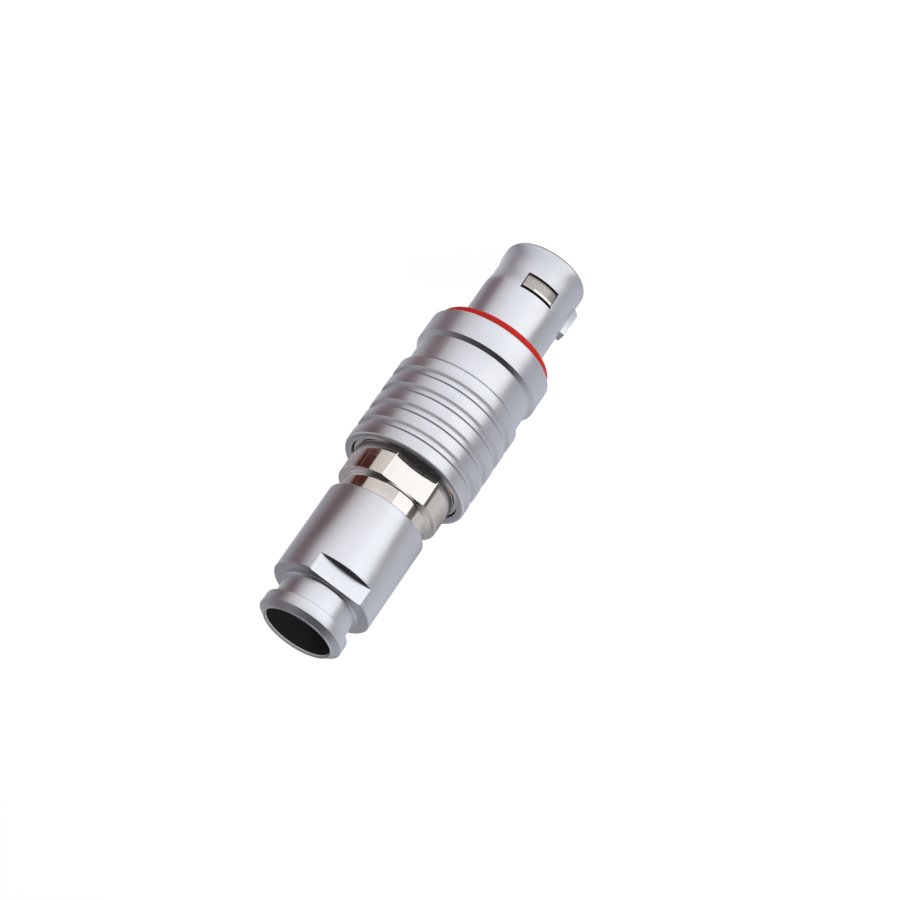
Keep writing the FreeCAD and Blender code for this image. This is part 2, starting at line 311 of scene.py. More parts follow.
def finished(made, name, finish, body, nodes, edge):
    """Object from a mesh, with eased corners, its finish, its body and the solids it stands for."""
    mesh = bpy.data.meshes.new(name)
    made.to_mesh(mesh)
    made.free()
    mesh.polygons.foreach_set("use_smooth", [True] * len(mesh.polygons))
    mesh.set_sharp_from_angle(angle=SHARP)
    piece = bpy.data.objects.new(name, mesh)
    bpy.context.scene.collection.objects.link(piece)
    easing = piece.modifiers.new("Eased corners", "BEVEL")
    easing.width = edge
    easing.segments = 3
    easing.limit_method = "ANGLE"
    easing.angle_limit = CORNER
    easing.use_clamp_overlap = True
    easing.miter_outer = "MITER_ARC"
    weights = piece.modifiers.new("Face weighted shading", "WEIGHTED_NORMAL")
    weights.keep_sharp = True
    mesh.materials.append(finish)
    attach(piece, body)
    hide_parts(*nodes)
    return piece


class Field:
    """A number that changes over a surface, so that shader maths reads as Python."""

    def __init__(self, tree, socket):
        self.tree = tree
        self.socket = socket

    def combined(self, operation, first, second=None):
        """A Math node on one or two numbers or fields."""
        node = self.tree.nodes.new("ShaderNodeMath")
        node.operation = operation
        for socket, value in zip(node.inputs, (first, second)):
            if isinstance(value, Field):
                self.tree.links.new(value.socket, socket)
            elif value is not None:
                socket.default_value = value
        return Field(self.tree, node.outputs[0])

    def __add__(self, other):
        return self.combined("ADD", self, other)

    def __radd__(self, other):
        return self.combined("ADD", other, self)

    def __sub__(self, other):
        return self.combined("SUBTRACT", self, other)

    def __rsub__(self, other):
        return self.combined("SUBTRACT", other, self)

    def __mul__(self, other):
        return self.combined("MULTIPLY", self, other)

    def __rmul__(self, other):
        return self.combined("MULTIPLY", other, self)

    def __truediv__(self, other):
        return self.combined("DIVIDE", self, other)

    def __pow__(self, other):
        return self.combined("POWER", self, other)

    def below(self, edge, soft):
        """1 well below an edge and 0 above it, with a soft step between."""
        step = (edge - self) / soft + 0.5
        step.socket.node.use_clamp = True
        return step


class Finish:
    """A node tree that is put together with one call for each node."""

    def __init__(self, tree):
        self.tree = tree
        tree.nodes.clear()

    def node(self, kind, settings=None, inputs=None):
        """Adds a node: its settings first, then the values or links of its sockets."""
        node = self.tree.nodes.new("ShaderNode" + kind)
        for key, value in (settings or {}).items():
            if key == "stops":
                self.set_stops(node.color_ramp, value)
            else:
                setattr(node, key, value)
        for key, value in (inputs or {}).items():
            socket = node.inputs[key]
            if isinstance(value, Field):
                self.tree.links.new(value.socket, socket)
            elif isinstance(value, bpy.types.NodeSocket):
                self.tree.links.new(value, socket)
            else:
                socket.default_value = value
        return node

    def set_stops(self, ramp, stops):
        """Colour stops of a ramp, as (place, colour) pairs."""
        while len(ramp.elements) < len(stops):
            ramp.elements.new(0.5)
        for element, (place, colour) in zip(ramp.elements, stops):
            element.position = place
            element.color = (*colour, 1.0)

    def value(self, kind, output, settings=None, inputs=None):
        """A node's output as a Field."""
        return Field(self.tree, self.node(kind, settings, inputs).outputs[output])

    def place(self):
        """Coordinates of the surface in the part's own frame, in metres: the vector, x, y and z."""
        where = self.node("TexCoord").outputs["Object"]
        parts = self.node("SeparateXYZ", inputs={"Vector": where})
        return where, *[Field(self.tree, parts.outputs[axis]) for axis in "XYZ"]

    def noise(self, where, scale, detail):
        """Soft random values about 0.5."""
        return self.value("TexNoise", "Fac", inputs={
            "Vector": where, "Scale": scale, "Detail": detail,
        })

    def turning_marks(self, along, scale, detail):
        """Fine rings that a cutting tool leaves, from a distance along the turned outline."""
        return self.value("TexNoise", "Fac", {"noise_dimensions": "1D"}, {
            "W": along, "Scale": scale, "Detail": detail,
        })

    def blend(self, factor, first, second):
        """Colour between two colours."""
        return self.node("Mix", {"data_type": "RGBA"}, {0: factor, 6: first, 7: second}).outputs[2]

    def relief(self, height, distance):
        """Normal of a surface whose small relief has its height from 0 to 1 over a distance."""
        inputs = {"Height": height, "Distance": distance, "Strength": 1.0}
        return self.node("Bump", inputs=inputs).outputs["Normal"]

    def done(self, **inputs):
        """Closes a material's tree with its shader."""
        named = {key.replace("_", " "): value for key, value in inputs.items()}
        shader = self.node("BsdfPrincipled", inputs=named)
        self.node("OutputMaterial", inputs={"Surface": shader.outputs[0]})


def new_material(name):
    """Empty node material, and the Finish that fills it."""
    material = bpy.data.materials.new(name)
    material.use_nodes = True
    return material, Finish(material.node_tree)


def rgba(colour, factor=1.0):
    """Colour with full alpha, made lighter or darker by a factor."""
    return (*[channel * factor for channel in colour[:3]], 1.0)


def satin_metal(name, colour, roughness, grain, corners=(), walls=(), bore_r=0.0, key_z=0.0):
    """Bead blasted chrome: fine grain over faint turning marks, painted shade in the corners and
    chalky groove walls at the given heights, in millimetres, painted shade black deep in a bore
    of bore_r, with a pale painted highlight band and a grey chamfer at its lip, and a painted
    highlight that makes paler a key standing out of the nose as far as key_z."""
    material, finish = new_material(name)
    where, x, y, z = finish.place()
    radius = (x * x + y * y) ** 0.5
    blast = finish.noise(where, 26000.0, 1.0)
    cloud = finish.noise(where, 420.0, 3.0)
    marks = finish.turning_marks(z + radius, 16000.0, 2.0)
    light = 0.94 + 0.08 * cloud + 0.02 * blast
    # Painted shade: a darker band of the base colour between two heights, inside a radius
    for low, high, outer in corners:
        line = z.below(high * MM, 0.00003) * (1.0 - z.below(low * MM, 0.00003))
        light = light - CORNER_PAINTED_SHADE * line * radius.below(outer * MM, 0.00003)
    # Painted highlight: the key's base colour is made paler
    if key_z:
        key = z.below(key_z * MM, 0.00001) * (1.0 - radius.below((NOSE_R + 0.02) * MM, 0.00001))
        light = light + KEY_PAINTED_HIGHLIGHT * key
    base = finish.node("VectorMath", {"operation": "SCALE"}, {
        0: colour[:3], "Scale": light,
    }).outputs[0]
    rough = roughness - 0.05 + 0.1 * cloud
    metal = 1.0
    for low, high in walls:
        wall = z.below(high * MM, 0.00002) * (1.0 - z.below(low * MM, 0.00002))
        metal = metal - WALL_CHALK * wall * radius.below((GRIP_R - 0.01) * MM, 0.00001)
    # Painted shade: deep in the bore the surface is black and not metal, with a pale painted
    # highlight band and a grey chamfer at its lip
    if bore_r:
        inside = radius.below(bore_r * MM, 0.00002)
        deep = z.below((MOUTH_END - 0.26) * MM, 0.00002)
        edge = z.below((MOUTH_END - 0.22) * MM, 0.00002)
        lip = finish.blend(edge, (0.3, 0.3, 0.31, 1.0), (0.8, 0.8, 0.8, 1.0))
        lip = finish.blend(deep, lip, (0.02, 0.02, 0.021, 1.0))
        base = finish.blend(inside, base, lip)
        metal = 1.0 - inside
    bump = finish.relief(0.75 * blast + 0.25 * marks, grain)
    finish.done(Base_Color=base, Metallic=metal, Roughness=rough, Normal=bump)
    return material


def bright_metal(name, colour, roughness):
    """Bright nickel: fine turning marks and a few faint stains."""
    material, finish = new_material(name)
    where, x, y, z = finish.place()
    radius = (x * x + y * y) ** 0.5
    marks = finish.turning_marks(z + radius, 22000.0, 3.0)
    stain = finish.noise(where, 700.0, 4.0)
    base = finish.blend(stain, rgba(colour, 0.97), rgba(colour, 1.03))
    rough = roughness + 0.06 * stain * stain
    bump = finish.relief(marks, 0.000001)
    finish.done(Base_Color=base, Metallic=1.0, Roughness=rough, Normal=bump)
    return material


def latch_metal(name, colour, roughness):
    """Plated spring, rough and finely scratched, with painted shade that makes it darker and
    warmer, except for a smoother strip of painted highlight along one side of its crest.
    """
    material, finish = new_material(name)
    where, x, y, z = finish.place()
    radius = (x * x + y * y) ** 0.5
    # Painted highlight on one side of the crest; the rest of the finger gets painted shade
    crest = 1.0 - radius.below((NOSE_R + FINGER_PROUD - 0.04) * MM, 0.00004)
    painted_highlight = crest * x.below(0.0005, 0.0003)
    painted_shade = 1.0 - painted_highlight
    scratches = finish.value("TexNoise", "Fac", inputs={
        "Vector": finish.node("VectorMath", {"operation": "MULTIPLY"}, {
            0: where, 1: (9000.0, 9000.0, 900.0),
        }).outputs[0],
        "Scale": 1.0, "Detail": 3.0,
    })
    shade_tint = (colour[0], colour[1] * 0.97, colour[2] * 0.92)
    ramp = finish.blend(scratches, rgba(shade_tint, 0.54), rgba(shade_tint, 0.72))
    base = finish.blend(painted_shade, rgba(colour, 1.04), ramp)
    rough = roughness + 0.02 + painted_shade * (0.18 + 0.1 * scratches)
    bump = finish.relief(scratches, 0.0000015)
    finish.done(Base_Color=base, Metallic=1.0, Roughness=rough, Normal=bump)
    return material


def moulded(name, colour, roughness, coat, speck=0.04):
    """Moulded rubber or resin: slight mottling and a fine pitted skin."""
    material, finish = new_material(name)
    where = finish.place()[0]
    mottle = finish.noise(where, 1500.0, 3.0)
    pits = finish.noise(where, 18000.0, 2.0)
    base = finish.blend(mottle, rgba(colour, 1.0 - speck), rgba(colour, 1.0 + speck))
    rough = roughness - 0.06 + 0.12 * mottle
    bump = finish.relief(pits, 0.000004)
    finish.done(
        Base_Color=base, Roughness=rough, Normal=bump, Coat_Weight=coat, Coat_Roughness=0.12,
        Specular_IOR_Level=0.25,
    )
    return material


class ConnectorFinish(bpy.types.PropertyGroup):
    """Colours and surface of each material."""

    chrome: bpy.props.FloatVectorProperty(
        name="Satin chrome", description="Colour of the outer shell and the nut",
        subtype="COLOR", size=3, min=0.0, max=1.0, default=(0.79, 0.8, 0.82))
    chrome_roughness: bpy.props.FloatProperty(
        name="Chrome roughness", description="How far the blasted chrome spreads a reflection",
        default=0.3, min=0.05, max=0.9, subtype="FACTOR")
    chrome_grain: bpy.props.FloatProperty(
        name="Chrome grain", description="Depth of the blasted grain",
        default=0.000003, min=0.0, max=0.00005, precision=6, unit="LENGTH")
    nickel: bpy.props.FloatVectorProperty(
        name="Bright nickel", description="Colour of the body and the latches",
        subtype="COLOR", size=3, min=0.0, max=1.0, default=(0.93, 0.89, 0.84))
    nickel_roughness: bpy.props.FloatProperty(
        name="Nickel roughness", description="How far the bright nickel spreads a reflection",
        default=0.05, min=0.02, max=0.9, subtype="FACTOR")
    seal: bpy.props.FloatVectorProperty(
        name="Face seal", description="Colour of the soft ring in front of the grip",
        subtype="COLOR", size=3, min=0.0, max=1.0, default=(0.7, 0.012, 0.004))
    rubber: bpy.props.FloatVectorProperty(
        name="Black rubber", description="Colour of the cable gasket and the body's ring",
        subtype="COLOR", size=3, min=0.0, max=1.0, default=(0.03, 0.03, 0.032))
    resin: bpy.props.FloatVectorProperty(
        name="Insulator", description="Colour of the insert that holds the contacts",
        subtype="COLOR", size=3, min=0.0, max=1.0, default=(0.62, 0.5, 0.34))
    brass: bpy.props.FloatVectorProperty(
        name="Plated brass", description="Colour of the carrier, collet and washer",
        subtype="COLOR", size=3, min=0.0, max=1.0, default=(0.68, 0.6, 0.44))
    gold: bpy.props.FloatVectorProperty(
        name="Gold plate", description="Colour of the contacts",
        subtype="COLOR", size=3, min=0.0, max=1.0, default=(0.83, 0.62, 0.26))


class ConnectorSizes(bpy.types.PropertyGroup):
    """Small sizes of the visible pieces that the solids leave plain."""

    shell_edge: bpy.props.FloatProperty(
        name="Shell corners", description="Width of the eased corners of the outer shell",
        default=0.00005, min=0.00001, max=0.0002, precision=6, unit="LENGTH")
    body_edge: bpy.props.FloatProperty(
        name="Body corners", description="Width of the eased corners of the bright body",
        default=0.00004, min=0.00001, max=0.0002, precision=6, unit="LENGTH")
    nut_edge: bpy.props.FloatProperty(
        name="Nut corners", description="Width of the eased corners of the nut",
        default=0.00004, min=0.00001, max=0.0002, precision=6, unit="LENGTH")
    latch_edge: bpy.props.FloatProperty(
        name="Latch corners", description="Width of the eased corners of the latch fingers",
        default=0.00003, min=0.00001, max=0.0001, precision=6, unit="LENGTH")


class ConnectorStage(bpy.types.PropertyGroup):
    """Floor, light and camera."""

    floor: bpy.props.FloatVectorProperty(
        name="Floor", description="Colour of the plain floor",
        subtype="COLOR", size=3, min=0.0, max=1.0, default=(0.86, 0.86, 0.86))
    camera_turn: bpy.props.FloatProperty(
        name="Camera turn", description="How far round the camera stands from the near latch",
        default=CAMERA_TURN, subtype="ANGLE")
    camera_rise: bpy.props.FloatProperty(
        name="Camera rise", description="Height of the camera's line of sight above the horizon",
        default=math.radians(24.83), subtype="ANGLE")
    camera_roll: bpy.props.FloatProperty(
        name="Camera roll", description="Angle in the picture from its right side to the nose",
        default=math.radians(55.47), subtype="ANGLE")
    camera_distance: bpy.props.FloatProperty(
        name="Camera distance", description="From the camera to the middle of the plug",
        default=0.3, min=0.05, unit="LENGTH")
    lens: bpy.props.FloatProperty(
        name="Lens", description="Focal length in millimetres", default=128.0, min=20.0)
    sky: bpy.props.FloatProperty(
        name="Room light", description="Strength of the room's light", default=1.0, min=0.0)
    key: bpy.props.FloatProperty(
        name="Main lamp", description="Power of the main soft lamp", default=1.5, min=0.0,
        unit="POWER")
    fill: bpy.props.FloatProperty(
        name="Fill lamp", description="Power of the second soft lamp", default=0.7, min=0.0,
        unit="POWER")


class CONNECTOR_OT_shell(bpy.types.Operator):
    """Nose tube and ridged grip, with the key and the two latch windows"""

    bl_idname = "connector.shell"
    bl_label = "Outer shell"

    def execute(self, context):
        sizes = context.scene.connector_sizes
        look = context.scene.connector_finish
        starts = [RIDGES_START + index * RIDGE_PITCH for index in range(RIDGE_COUNT + 1)]
        # Bands of painted shade on the ramp in front of each ridge
        corners = [(start - RIDGE_RAMP + 0.02, start, GRIP_R - 0.02) for start in starts]
        walls = [(start + RIDGE_LENGTH - 0.1, start + RIDGE_LENGTH + 0.01) for start in starts]
        finish = satin_metal("satin_chrome", look.chrome, look.chrome_roughness, look.chrome_grain,
                             corners, walls, key_z=KEY_END - 0.02)
        tube_half = window_half(WAIST_R)
        bore_half = window_half(BORE_R)
        tip = arc(NOSE_R - TIP_ROUND, TIP_ROUND, TIP_ROUND, -90, 90, 6)
        rows = [Row(r, z, tube_half) for r, z in tip]
        rows += [Row(NOSE_R, BEAD_END, tube_half), Row(WAIST_R, WAIST_START, tube_half)]
        windowed = [
            (WAIST_R, WINDOW_START), (WAIST_R, WAIST_END), (FLARE_R, FLARE_Z), (NOSE_R, FLARE_END),
            (NOSE_R, WINDOW_END),
        ]
        outer = (len(rows), len(rows) + len(windowed) - 1)
        rows += [Row(r, z, window_half(r)) for r, z in windowed]
        rows += [
            Row(NOSE_R, PLAIN_START),
            Row(NOSE_R, SEAL_SEAT_Z),
            Row(SEAL_R + 0.02, SEAL_SEAT_Z),
            Row(SEAL_R + 0.02, GRIP_START),
            Row(GRIP_R - FRONT_EASE, GRIP_START),
            Row(GRIP_R, GRIP_START + FRONT_EASE),
            Row(GRIP_R, FLANGE_END),
            Row(BAND_R, BAND_START),
            Row(BAND_R, BAND_END),
        ]
        for start in starts[:-1]:
            end = start + RIDGE_LENGTH
            rows += [
                Row(GRIP_R, start),
                Row(GRIP_R, end - RIDGE_WALL),
                Row(GRIP_R - 0.06, end - RIDGE_WALL + 0.04),
                Row(GROOVE_R, end),
                Row(GROOVE_R, start + RIDGE_PITCH - RIDGE_RAMP),
            ]
        rows.append(Row(GRIP_R, starts[-1]))
        rear = arc(GRIP_R - GRIP_ROUND, GRIP_END - GRIP_ROUND, GRIP_ROUND, 0, 90, 6)
        rows += [Row(r, z) for r, z in rear]
        rows += [
            Row(REAR_BORE_R + REAR_EASE, GRIP_END),
            Row(REAR_BORE_R, GRIP_END - REAR_EASE),
            Row(REAR_BORE_R, GUIDE_END),
            Row(GUIDE_BORE_R, GUIDE_END),
            Row(GUIDE_BORE_R, STEP_Z),
            Row(BORE_R, STEP_Z),
        ]
        rows += [Row(BORE_R, z, bore_half) for r, z in reversed(windowed)]
        inner = (len(rows) - 1, len(rows) - len(windowed))
        rows += [Row(BORE_R, TIP_EASE, bore_half), Row(BORE_R + TIP_EASE, 0, bore_half)]
        made = turned_mesh(rows, [(outer, inner)])
        key_foot = KEY_ROOT - WAIST_R
        key_top = -(NOSE_R + KEY_HEIGHT)
        add_prism(made, [
            (key_foot, KEY_START), (key_top + KEY_CHAMFER, KEY_START),
            (key_top, KEY_START + KEY_CHAMFER), (key_top, KEY_END), (key_foot, KEY_END),
        ], KEY_WIDTH)
        finished(made, "shell_turned", finish, "shell", ["outer_shell"],
                 sizes.shell_edge)
        return {"FINISHED"}


class CONNECTOR_OT_seal(bpy.types.Operator):
    """Soft ring seated in the grip's front face"""

    bl_idname = "connector.seal"
    bl_label = "Face seal"

    def execute(self, context):
        look = context.scene.connector_finish
        finish = moulded("red_seal", look.seal, 0.35, 0.05)
        front = GRIP_START - SEAL_PROUD
        edge = arc(SEAL_R - SEAL_ROUND, front + SEAL_ROUND, SEAL_ROUND, -90, 90, 8)
        rows = [Row(NOSE_R + 0.02, front)]
        rows += [Row(r, z) for r, z in edge]
        rows += [Row(SEAL_R, SEAL_SEAT_Z - 0.02), Row(NOSE_R + 0.02, SEAL_SEAT_Z - 0.02)]
        finished(turned_mesh(rows), "seal_moulded", finish, "shell", ["face_seal_ring"],
                 context.scene.connector_sizes.body_edge)
        return {"FINISHED"}


class CONNECTOR_OT_body(bpy.types.Operator):
    """Bright body behind the grip, with two wrench flats and a throat"""

    bl_idname = "connector.body"
    bl_label = "Plug body"

    def execute(self, context):
        look = context.scene.connector_finish
        finish = bright_metal("bright_nickel", look.nickel, look.nickel_roughness)
        collar_face = [
            (0.0, 0.08), (0.03, 0.03), (0.07, 0.0), (0.12, 0.0), (0.14, 0.05), (0.18, 0.05),
            (0.2, 0.0), (0.24, 0.0), (0.27, 0.06), (0.28, 0.2),
        ]
        wrench_half = math.acos(WRENCH_FLAT / WRENCH_R)
        rows = [
            Row(SLEEVE_BORE_R, BODY_START),
            Row(BARREL_R, BODY_START),
            Row(BARREL_R, RING_GROOVE_START),
            Row(RING_GROOVE_R, RING_GROOVE_START),
            Row(RING_GROOVE_R, RING_GROOVE_END),
            Row(BARREL_R, RING_GROOVE_END),
            Row(BARREL_R, COLLAR_START),
            Row(COLLAR_R, COLLAR_START),
        ]
        rows += [Row(COLLAR_R - inward, COLLAR_END - down) for inward, down in collar_face]
        rows += [
            Row(WRENCH_R, COLLAR_END - 0.2, wrench_half),
            Row(WRENCH_R, COLLAR_END, wrench_half),
            Row(WRENCH_R, COLLAR_END, flat=WRENCH_FLAT),
            Row(WRENCH_R, WRENCH_END - 0.05, flat=WRENCH_FLAT),
            Row(WRENCH_R - 0.05, WRENCH_END, flat=WRENCH_FLAT),
            Row(THROAT_R + 0.14, WRENCH_END),
            Row(THROAT_R + 0.14, WRENCH_END + 0.1),
            Row(THROAT_R + 0.1, WRENCH_END + 0.15),
            Row(THROAT_R, WRENCH_END + 0.15),
            Row(THROAT_R, THROAT_END),
            Row(SPIGOT_R, THROAT_END),
        ]
        for turn in range(THREAD_TURNS):
            start = THROAT_END + 0.15 + turn * THREAD_PITCH
            rows += [
                Row(SPIGOT_R, start),
                Row(THREAD_ROOT_R, start + 0.17),
                Row(THREAD_ROOT_R, start + 0.25),
                Row(SPIGOT_R, start + 0.42),
            ]
        rows += [
            Row(SPIGOT_R, SPIGOT_END - 0.1),
            Row(SPIGOT_R - 0.1, SPIGOT_END),
            Row(COLLET_BORE_R, SPIGOT_END),
            Row(COLLET_BORE_R, CARRIER_BORE_END),
            Row(CARRIER_BORE_R, CARRIER_BORE_END),
            Row(CARRIER_BORE_R, CARRIER_BORE_START),
            Row(SLEEVE_BORE_R, CARRIER_BORE_START),
        ]
        finished(turned_mesh(rows), "body_turned", finish, "core", ["plug_body"],
                 context.scene.connector_sizes.body_edge)
        return {"FINISHED"}


class CONNECTOR_OT_latches(bpy.types.Operator):
    """The two ramped latch fingers that stand in the windows"""

    bl_idname = "connector.latches"
    bl_label = "Latch fingers"

    def execute(self, context):
        look = context.scene.connector_finish
        finish = latch_metal("latch_nickel", look.nickel, look.nickel_roughness)
        outer = BORE_R - 0.07
        inner = outer - FINGER_THICKNESS
        toe = WINDOW_START + 0.1
        crest = WINDOW_END - 0.5
        heel = WINDOW_END - 0.1
        crest_r = NOSE_R + FINGER_PROUD
        outline = [
            (inner, toe),
            (outer + 0.26, toe),
            (crest_r - 0.06, crest),
            (crest_r, crest + 0.08),
            (crest_r, heel - 0.08),
            (outer + 0.1, heel),
            (outer, heel + 0.12),
            *arc((outer + inner) / 2, HINGE_Z, FINGER_THICKNESS / 2, 0, 180, 8),
        ]
        for side, facing in (("near", -1), ("far", 1)):
            made = strip_mesh(outline, facing, WINDOW_WIDTH - 0.16)
            finished(made, "latch_head_" + side, finish, "finger_" + side,
                     ["latch_finger_" + side],
                     context.scene.connector_sizes.latch_edge)
        return {"FINISHED"}


class CONNECTOR_OT_nut(bpy.types.Operator):
    """Clamping nut with two wrench flats, a neck and a rim"""

    bl_idname = "connector.nut"
    bl_label = "Collet nut"

    def execute(self, context):
        sizes = context.scene.connector_sizes
        look = context.scene.connector_finish
        # Painted shade: a dark band on the neck just beneath the rim
        finish = satin_metal("nut_chrome", look.chrome, look.chrome_roughness,
                             look.chrome_grain, [(RIM_START - 0.28, RIM_START, NECK_R + 0.12)],
                             bore_r=MOUTH_BORE_R + 0.07)
        rows = [
            Row(THREAD_BORE_R, SHOULDER_Z),
            Row(THREAD_BORE_R, THROAT_BORE_END),
            Row(THROAT_BORE_R, THROAT_BORE_END),
            Row(THROAT_BORE_R, NUT_START),
            Row(NUT_R - 0.16, NUT_START),
            Row(NUT_R - 0.05, NUT_START + 0.05),
            Row(NUT_R, NUT_START + 0.16),
            Row(NUT_R, NUT_FLAT_START, math.acos(NUT_FLAT / NUT_R)),
            Row(NUT_R, NUT_FLAT_START, flat=NUT_FLAT),
            Row(NUT_R, NUT_END - 0.1, flat=NUT_FLAT),
            Row(NUT_R - 0.1, NUT_END, flat=NUT_FLAT),
        ]
        neck = arc(NECK_R + NECK_ROUND, NUT_END + NECK_ROUND, NECK_ROUND, -90, -90, 6)
        rows += [Row(r, z) for r, z in neck]
        rows += [
            Row(NECK_R, RIM_START),
            Row(RIM_R, RIM_START),
            Row(RIM_R, RIM_START + RIM_LENGTH),
            Row(LIP_R, MOUTH_END - 0.13),
            Row(LIP_R - 0.01, MOUTH_END - 0.02),
            Row(LIP_R - 0.03, MOUTH_END),
            Row(MOUTH_BORE_R + 0.06, MOUTH_END),
            Row(MOUTH_BORE_R, MOUTH_END - 0.2),
            Row(MOUTH_BORE_R - 0.04, MOUTH_END - 0.26),
            Row(MOUTH_BORE_R - 0.08, MOUTH_END - 2.5),
            Row(CABLE_BORE_R, MOUTH_END - 2.7),
            Row(CABLE_BORE_R, SHOULDER_Z),
        ]
        finished(turned_mesh(rows), "nut_turned", finish, "nut", ["collet_nut"],
                 sizes.nut_edge)
        return {"FINISHED"}


class CONNECTOR_OT_inside(bpy.types.Operator):
    """Finishes of the pieces inside the plug that keep their solids"""

    bl_idname = "connector.inside"
    bl_label = "Inside pieces"

    def execute(self, context):
        look = context.scene.connector_finish
        nickel = bright_metal("sleeve_nickel", look.nickel, look.nickel_roughness + 0.1)
        rubber = moulded("black_rubber", look.rubber, 0.6, 0.0, 0.15)
        resin = moulded("insulator_resin", look.resin, 0.45, 0.0, 0.05)
        brass = bright_metal("plated_brass", look.brass, 0.3)
        gold = bright_metal("gold_plate", look.gold, 0.15)
        finishes = {
            "latch_sleeve": nickel,
            "body_o_ring": rubber,
            "cable_gasket": rubber,
            "insulator": resin,
            "insert_carrier_left": brass,
            "insert_carrier_right": brass,
            "cable_collet": brass,
            "thrust_washer": brass,
        }
        for name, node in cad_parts.items():
            finish = gold if name.startswith("contact_pin") else finishes.get(name)
            if finish:
                node.data.materials.clear()
                node.data.materials.append(finish)
        return {"FINISHED"}


